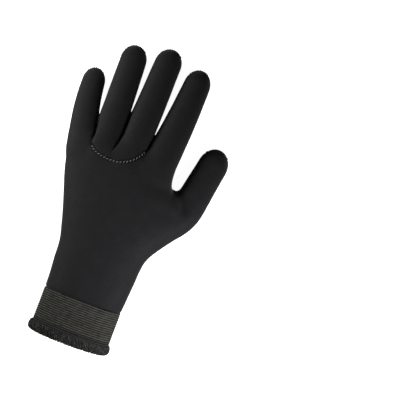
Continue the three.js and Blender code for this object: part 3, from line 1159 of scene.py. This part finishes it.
def rounded(corners, radius, steps=4):
    """A closed outline of height and offset pairs with its corners rounded."""
    corners = np.array(corners, float)
    found = []
    for index, corner in enumerate(corners):
        before = corners[index - 1]
        after = corners[(index + 1) % len(corners)]
        room = min(np.linalg.norm(before - corner), np.linalg.norm(after - corner)) * 0.48
        reach = min(radius, room)
        start = corner + unit(before - corner) * reach
        end = corner + unit(after - corner) * reach
        for t in np.linspace(0, 1, steps):
            found.append(start * (1 - t) ** 2 + corner * 2 * t * (1 - t) + end * t**2)
    return found


def hem_bow(angles, heights, offsets):
    """The hem's outer side hangs lower over the back of the wrist."""
    share = np.clip((HEM_TOP - heights) / (HEM_TOP - HEM_FOOT), 0, 1.2)
    outside = smooth_step((offsets + BAND_WALL + HEM_WALL) / HEM_WALL)
    return heights - HEM_BOW * share * outside * np.clip(np.sin(angles), 0, 1)


def loop_rows(route):
    """The overlocked thread: short slanted loops in rows along the hem's rounded outline."""
    along = lengths_along(route)
    slopes = unit(np.gradient(route, along, axis=0))
    fine, around = cuff_lengths()
    count = int(around[-1] / LOOP_PITCH)
    rows = int((along[-1] - 1) / LOOP_ROW)
    chance = np.random.default_rng(7)
    spread = np.linspace(-1, 1, 6)
    found = []
    for row in range(rows):
        for number in range(count):
            lean = LOOP_SLANT if row % 2 else -LOOP_SLANT
            slant = math.radians(lean + 12 * chance.normal())
            reach = LOOP_LENGTH / 2 * (0.9 + 0.2 * chance.random()) * spread
            down = 0.7 + LOOP_ROW * (row + 0.5) + 0.18 * chance.normal() + reach * math.sin(slant)
            side = LOOP_PITCH * (number + 0.5 * (row % 2) + 0.12 * chance.normal())
            angles = np.interp((side + reach * math.cos(slant)) % around[-1], around, fine)
            lift = 0.3 + 0.15 * chance.random() - 0.55 * spread**2
            height, offset = (np.interp(down, along, route[:, k]) for k in range(2))
            height_slope, offset_slope = (np.interp(down, along, slopes[:, k]) for k in range(2))
            height = height + lift * offset_slope
            offset = offset - lift * height_slope
            height = hem_bow(angles, height, offset)
            line = cuff_points(angles, height, offset)
            ups = unit(cuff_points(angles, height, offset + 1) - line)
            radii = LOOP_RADIUS * np.sqrt(1.1 - spread**2)
            found.append((tube(line, radii, THREAD_SIDES, ups), chance.random() < LIGHT_LOOPS))
    return found


def add_hem():
    """The binding folded round the band's foot, covered by its overlocked thread."""
    inside = -BAND_WALL - GAP
    lip = inside - HEM_WALL
    proud = GAP + HEM_WALL - 0.7
    corners = [
        (HEM_TOP, 0.1), (HEM_TOP - 0.7, 0.8), (HEM_TOP - 2.8, proud), (HEM_FOOT + 2, proud),
        (HEM_FOOT + 0.6, proud - 1.8), (HEM_FOOT + 0.6, lip + 1.2), (HEM_FOOT + 1.8, lip + 0.4),
        (HEM_LIP + HEM_FOOT, lip + 0.4), (HEM_LIP + HEM_FOOT, inside),
        (BAND_FOOT - GAP, inside), (BAND_FOOT - GAP, 0.1),
    ]
    profile = np.array(rounded(corners, HEM_CORNER))

    def bow(angles, heights, offsets):
        under = heights < BAND_FOOT
        outer = offsets > 0.05
        return np.where(under | outer, hem_bow(angles, heights, offsets), heights), offsets

    roll = sweep_round(profile, HEM_COLUMNS, bow)
    loops = loop_rows(profile[1:31])
    points, faces = joined([roll] + [part for part, _ in loops])
    kinds = [0] * len(roll[1])
    for part, light in loops:
        kinds += [int(light)] * len(part[1])
    return add_piece(
        "hem_overlock", points, faces, [binding, materials["binding_light"]],
        ["hem_binding"], kinds,
    )


def under_angle(across):
    share = across / (WRIST_WIDTH / 2)
    return -math.acos(math.copysign(abs(share) ** (HAND_SQUARENESS / 2), share))


def strip(foot, height, inner, thickness, reach, relief, spacing):
    """A strip on the cuff's underside. relief shapes its face by the distances from its end
    and its foot."""
    start = under_angle(-reach)
    _, length = even_angles(2, start, STRIP_END)
    columns_count = int(length / spacing) + 1
    rows = int(height / spacing) + 1
    angles, _ = even_angles(columns_count, start, STRIP_END)
    along = np.linspace(0, length, columns_count)
    heights = np.linspace(0, height, rows)
    grid_along, grid_heights = np.meshgrid(along, heights)
    edge = np.minimum(
        np.minimum(grid_along, length - grid_along), np.minimum(grid_heights, height - grid_heights)
    )
    round_edge = thickness * 0.45 * (1 - np.sqrt(np.clip(edge / 0.6, 0, 1)))
    top = inner + thickness - round_edge + relief(grid_along, grid_heights, length, height)
    outer = cuff_points(angles[None, :], foot + grid_heights, top)
    under = cuff_points(angles[None, :], foot + grid_heights, inner + 0 * top)
    count = rows * columns_count
    points = np.concatenate([outer.reshape(-1, 3), under.reshape(-1, 3)])
    faces = grid_faces(rows, columns_count, False)
    faces += [tuple(k + count for k in face[::-1]) for face in faces]
    loop = list(range(columns_count))
    loop += [row * columns_count + columns_count - 1 for row in range(1, rows)]
    loop += [(rows - 1) * columns_count + k for k in range(columns_count - 2, -1, -1)]
    loop += [row * columns_count for row in range(rows - 2, 0, -1)]
    for a, b in zip(loop, loop[1:] + loop[:1]):
        faces.append((b, a, a + count, b + count))
    return points, faces


def add_patch():
    """The loop pile that the strap closes on."""
    def relief(along, heights, length, height):
        pile = np.sin(along * 4.1 + 2 * np.sin(heights * 3.3)) * np.sin(heights * 4.7 + along)
        return 0.12 * pile

    points, faces = strip(TAB_FOOT, PATCH_HEIGHT, GAP, PATCH_WALL, PATCH_REACH, relief, 0.5)
    return add_piece("loop_pile", points, faces, [pile], ["loop_patch"])


def add_tab():
    """The strap's tab, with its sewn end, the hooks' backing and a woven face."""
    def pulled_in(away):
        return np.exp(-((away / SEWN_WIDTH) ** 2))

    def relief(along, heights, length, height):
        sewn = pulled_in(along - SEWN_ROWS[0]) + pulled_in(along - SEWN_ROWS[1])
        sewn += pulled_in(heights - SEWN_EDGE) * (along > SEWN_ROWS[0])
        sewn += pulled_in(height - heights - SEWN_EDGE) * (along > SEWN_ROWS[0])
        turn = 2 * math.pi
        hooks = np.sin(along * turn / HOOK_PITCH) * np.sin(heights * turn / HOOK_PITCH)
        hooks = np.clip(hooks, 0, 1) * smooth_step((along - HOOKS_START) / 1.5)
        hooks *= smooth_step((HOOKS_END - along) / 2)
        ridges = np.sin(along * turn / RIDGE_PITCH) * smooth_step((along - HOOKS_END) / 3)
        return -0.22 * np.clip(sewn, 0, 1) + 0.13 * hooks + 0.05 * ridges

    inner = GAP + PATCH_WALL + GAP
    points, faces = strip(TAB_FOOT, TAB_HEIGHT, inner, TAB_WALL - 0.1, TAB_REACH, relief, 0.28)
    return add_piece("strap_tab", points, faces, [strap], ["closure_tab"])


def add_tab_threads():
    """The sewing lines on the tab."""
    fine, along = cuff_lengths(under_angle(-TAB_REACH), STRIP_END, 1500)
    face = GAP + PATCH_WALL + GAP + TAB_WALL
    parts = []

    def add(run_along, run_heights):
        own = np.interp(run_along, along, fine)
        spread = np.linspace(-1, 1, len(run_along))
        offsets = face - 0.3 + 0.1 * (1 - spread**2) - 0.25 * (np.abs(spread) > 0.9)
        line = cuff_points(own, TAB_FOOT + run_heights, offsets)
        ups = unit(cuff_points(own, TAB_FOOT + run_heights, offsets + 1) - line)
        parts.append(tube(line, 0.19, 5, ups))

    stitch = np.linspace(0, SEWN_LENGTH, 4)
    for place in SEWN_ROWS:
        for height in np.arange(1.4, TAB_HEIGHT - 2.4, SEWN_PITCH):
            add(np.full(4, place), height + stitch)
    for height in (SEWN_EDGE, TAB_HEIGHT - SEWN_EDGE):
        for place in np.arange(2, along[-1] - 2.5, SEWN_PITCH):
            add(place + stitch, np.full(4, height))
    points, faces = joined(parts)
    return add_piece("tab_threads", points, faces, [thread])


class Nodes:
    """Adds nodes to a material and links them."""

    def __init__(self, made):
        made.use_nodes = True
        self.tree = made.node_tree
        self.shader = self.tree.nodes["Principled BSDF"]
        self.place = self.add("ShaderNodeTexCoord").outputs["Object"]

    def add(self, kind, **values):
        node = self.tree.nodes.new(kind)
        for name, value in values.items():
            if name in node.inputs:
                node.inputs[name].default_value = value
            else:
                setattr(node, name, value)
        return node

    def link(self, start, end):
        self.tree.links.new(start, end)

    def stretched(self, scale):
        """Object coordinates in millimetres, stretched."""
        mapping = self.add("ShaderNodeMapping")
        mapping.inputs["Scale"].default_value = [1000 * value for value in scale]
        self.link(self.place, mapping.inputs["Vector"])
        return mapping.outputs["Vector"]

    def noise(self, size, detail, stretch=(1, 1, 1)):
        node = self.add("ShaderNodeTexNoise", Scale=1.0, Detail=detail, Roughness=0.5)
        self.link(self.stretched([value / size for value in stretch]), node.inputs["Vector"])
        return node.outputs["Fac"]

    def cells(self, size, stretch):
        node = self.add("ShaderNodeTexVoronoi", Scale=1.0)
        self.link(self.stretched([value / size for value in stretch]), node.inputs["Vector"])
        return node.outputs["Distance"]

    def waves(self, size, direction, distortion):
        node = self.add(
            "ShaderNodeTexWave", Scale=0.314, Distortion=distortion, bands_direction=direction
        )
        self.link(self.stretched([1 / size] * 3), node.inputs["Vector"])
        return node.outputs["Fac"]

    def colours(self, factor, low, high):
        ramp = self.add("ShaderNodeValToRGB")
        stops = ((0.3, low), (0.7, high))
        for element, (position, colour) in zip(ramp.color_ramp.elements, stops):
            element.position = position
            element.color = (*colour, 1)
        self.link(factor, ramp.inputs["Fac"])
        return ramp.outputs["Color"]

    def colour(self, output):
        self.link(output, self.shader.inputs["Base Color"])

    def rough(self, factor, low, high):
        spread = self.add("ShaderNodeMapRange")
        spread.inputs["To Min"].default_value = low
        spread.inputs["To Max"].default_value = high
        self.link(factor, spread.inputs["Value"])
        self.link(spread.outputs["Result"], self.shader.inputs["Roughness"])

    def bump(self, height, depth_mm):
        node = self.add("ShaderNodeBump", Distance=depth_mm / 1000, Strength=1.0)
        self.link(height, node.inputs["Height"])
        earlier = self.shader.inputs["Normal"].links
        if earlier:
            self.link(earlier[0].from_socket, node.inputs["Normal"])
        self.link(node.outputs["Normal"], self.shader.inputs["Normal"])


def grey(level, red=0.0, blue=0.0):
    """A near-grey colour from its 8-bit level, with a little more or less red and blue."""
    def linear(value):
        value = max(value, 0) / 255
        return value / 12.92 if value <= 0.04045 else ((value + 0.055) / 1.055) ** 2.4

    return (linear(level + red), linear(level), linear(level + blue))


def cloth(name, low, high, size, sheen, roughness, specular=0.08):
    """A cloth whose colour drifts between two near ones."""
    made = bpy.data.materials.new(name)
    nodes = Nodes(made)
    nodes.colour(nodes.colours(nodes.noise(size, detail=3), low, high))
    nodes.shader.inputs["Sheen Weight"].default_value = sheen
    nodes.shader.inputs["Sheen Roughness"].default_value = 0.45
    nodes.shader.inputs["Specular IOR Level"].default_value = specular
    nodes.rough(nodes.noise(size * 0.3, detail=2), *roughness)
    return made, nodes


def knitted(name, low, high, size, sheen, roughness, stitch, depth):
    """A cloth with the fine stitches of a knitted face: columns of small slanted loops."""
    made, nodes = cloth(name, low, high, size, sheen, roughness)
    nodes.bump(nodes.cells(stitch, (1.4, 0.8, 1)), depth)
    nodes.bump(nodes.noise(stitch * 6, detail=3), depth * 1.6)
    return made


def grained(grain, depth, *looks, detail=2, stretch=(1, 1, 1)):
    """A cloth or a rubber with a fine uneven grain."""
    made, nodes = cloth(*looks)
    nodes.bump(nodes.noise(grain, detail, stretch), depth)
    return made


def elastic_cloth(name, low, high):
    return grained(0.4, 0.1, name, low, high, 3.5, 0.05, (0.7, 0.9), stretch=(1, 0.5, 1))


def overlock(name, low, high):
    return grained(0.45, 0.22, name, low, high, 1.6, 0.08, (0.75, 0.95), detail=3)


def strap_weave():
    made, nodes = cloth("strap_weave", grey(STRAP - 6), grey(STRAP + 7), 1.6, 0.1, (0.55, 0.75))
    for direction in ("X", "Y"):
        nodes.bump(nodes.waves(0.6, direction, 0.6), 0.07)
    return made


def make_materials():
    """The materials, with their patches, grain and stitches in millimetres."""
    return {
        "neoprene": knitted(
            "neoprene_knit", grey(NEOPRENE - 1, 0.5, 1.8), grey(NEOPRENE + 2, 0.5, 1.8), 9, 0.12,
            (0.62, 0.8), 0.55, 0.09,
        ),
        "lining": knitted(
            "lining_knit", grey(LINING - 4, 0, 1), grey(LINING + 4, 0, 1), 5, 0.2, (0.75, 0.9),
            0.7, 0.12,
        ),
        "palm": knitted(
            "palm_knit", grey(PALM - 3), grey(PALM + 3), 7, 0.12, (0.65, 0.85), 0.6, 0.12
        ),
        "rubber": grained(
            0.5, 0.04, "dot_rubber", grey(DOTS - 8), grey(DOTS + 8), 2.5, 0.0, (0.38, 0.55), 0.5
        ),
        "elastic": elastic_cloth(
            "elastic_weave", grey(ELASTIC - 8, 0.5, -3), grey(ELASTIC + 9, 0.5, -5)
        ),
        # The lowest ribs' cloth: the elastic darkened and tinted purple as painted shade
        "elastic_painted_shade": elastic_cloth(
            "elastic_painted_shade", grey(ELASTIC_SHADE - 5, 1, 0), grey(ELASTIC_SHADE + 6, 1, -2)
        ),
        # A near-black cloth for the ribs' valleys: painted shade
        "shaded_valley": grained(
            0.4, 0.1, "painted_valley_shade", grey(VALLEY_SHADE - 3), grey(VALLEY_SHADE + 3), 2.2, 0.0,
            (0.8, 0.95), 0.05,
        ),
        "binding": overlock(
            "overlock_thread", grey(BINDING - 7, 0.5, 0.5), grey(BINDING + 9, 0.5, 0)
        ),
        "binding_light": overlock(
            "overlock_light", grey(BINDING + 12, 0.5, -4), grey(BINDING + 25, 0.5, -5)
        ),
        "thread": grained(
            0.3, 0.08, "seam_thread", grey(THREAD - 16), grey(THREAD + 18), 1.2, 0.1,
            (0.5, 0.7), 0.4,
        ),
        # Dark cord for the palm seam, also used for the back seam's painted shadow line
        "seam_cord_and_shadow": grained(
            0.3, 0.08, "seam_cord_and_shadow", grey(CORD_AND_SHADOW - 3), grey(CORD_AND_SHADOW + 4), 1.2, 0.05, (0.7, 0.9), 0.06
        ),
        "pile": grained(
            0.5, 0.4, "loop_pile", grey(PILE - 7), grey(PILE + 7), 0.9, 0.3, (0.9, 1.0), 0.1,
            detail=4,
        ),
        "strap": strap_weave(),
    }


def add_floor():
    """A white floor whose glow doesn't reach the glove."""
    mesh = bpy.data.meshes.new("floor")
    corners = [(-1, -1), (1, -1), (1, 1), (-1, 1)]
    mesh.from_pydata(
        [(FLOOR_REACH * x, FLOOR_REACH * y, 0) for x, y in corners], [], [(0, 1, 2, 3)]
    )
    floor = bpy.data.objects.new("floor", mesh)
    floor.visible_diffuse = False
    floor.visible_glossy = False
    bpy.context.scene.collection.objects.link(floor)
    made = bpy.data.materials.new("floor")
    nodes = Nodes(made)
    nodes.shader.inputs["Base Color"].default_value = (*FLOOR_COLOUR, 1)
    nodes.shader.inputs["Roughness"].default_value = 0.9
    nodes.shader.inputs["Specular IOR Level"].default_value = 0.1
    nodes.shader.inputs["Emission Color"].default_value = (1, 1, 1, 1)
    nodes.shader.inputs["Emission Strength"].default_value = FLOOR_GLOW
    mesh.materials.append(made)


def add_light(name, place, target, size, power):
    light = bpy.data.lights.new(name, "AREA")
    light.shape = "DISK"
    light.size = size
    light.energy = power
    thing = bpy.data.objects.new(name, light)
    thing.location = place
    thing.visible_camera = False
    thing.rotation_euler = (Vector(target) - Vector(place)).to_track_quat("-Z", "Y").to_euler()
    bpy.context.scene.collection.objects.link(thing)


def add_lights():
    world = bpy.data.worlds.new("studio")
    world.use_nodes = True
    world.node_tree.nodes["Background"].inputs["Color"].default_value = (1, 1, 1, 1)
    world.node_tree.nodes["Background"].inputs["Strength"].default_value = WORLD_LIGHT
    bpy.context.scene.world = world
    for name, place, size, power in LIGHTS:
        add_light(name, place, LIGHT_TARGET, size, power)


def add_camera():
    data = bpy.data.cameras.new("camera")
    data.sensor_width = 36
    data.lens = data.sensor_width / 2 / math.tan(CAMERA_VIEW / 2)
    data.clip_end = 20
    camera = bpy.data.objects.new("camera", data)
    camera.location = CAMERA_PLACE
    camera.rotation_euler = (0, 0, CAMERA_TURN)
    bpy.context.scene.collection.objects.link(camera)
    bpy.context.scene.camera = camera


materials = make_materials()
rubber, elastic, binding = materials["rubber"], materials["elastic"], materials["binding"]
pile, strap, thread = materials["pile"], materials["strap"], materials["thread"]

shell, palm_faces, finger_faces, back_faces = make_shell()
palm_lines, back_lines = seam_lines(shell, palm_faces, finger_faces)
depths = groove_depths(shell, palm_lines + back_lines)
skin = [materials["neoprene"], materials["lining"]]
add_panel("back_neoprene", "back_panel", shell, back_faces, depths, skin)
add_panel("finger_neoprene", "finger_back_panel", shell, finger_faces, depths, skin)
add_panel(
    "palm_neoprene", "palm_panel", shell, palm_faces, depths,
    [materials["palm"], materials["lining"]],
)
add_seam_threads(palm_lines, back_lines)
add_grip(shell, palm_faces, depths)
add_band()
add_hem()
add_patch()
add_tab()
add_tab_threads()
add_floor()
add_lights()
add_camera()
bpy.context.scene.view_settings.view_transform = "Standard"
